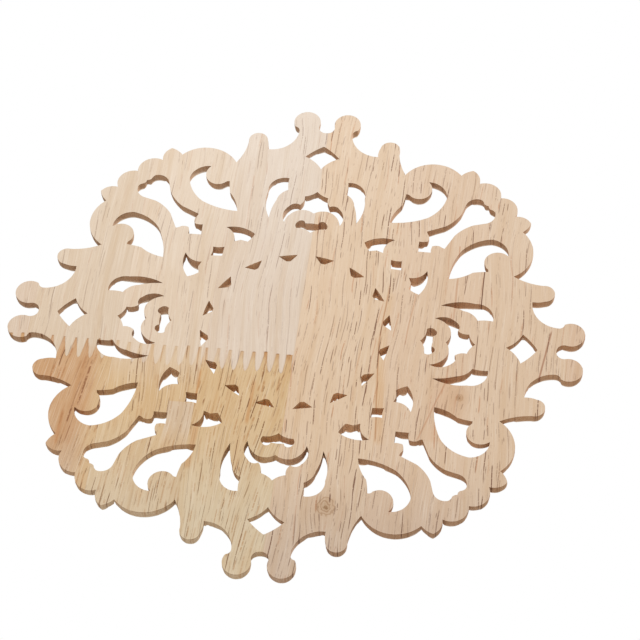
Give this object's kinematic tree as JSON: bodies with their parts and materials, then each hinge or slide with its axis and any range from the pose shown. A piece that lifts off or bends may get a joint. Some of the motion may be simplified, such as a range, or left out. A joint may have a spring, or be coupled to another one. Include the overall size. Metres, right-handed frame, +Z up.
{
  "type": "wood applique",
  "caption": "Round pierced wood applique with a flower rosette, scalloped ring and scrolling leafwork carved on its face; flat back for gluing or pinning to a surface.",
  "frame": {"origin": "centre of the flat back, where it meets what it is fixed to", "axes": "+Y out of the flat back, square to it; -Y out of the carved face; +Z up and +X sideways, each through the gap between a pair of outer bulbs"},
  "size_m": [0.298, 0.013, 0.298],
  "materials": {
    "wood": "bare pale hardwood, sanded and unfinished"
  },
  "bodies": {
    "root": {"applique": "wood"}
  },
  "joints": []
}
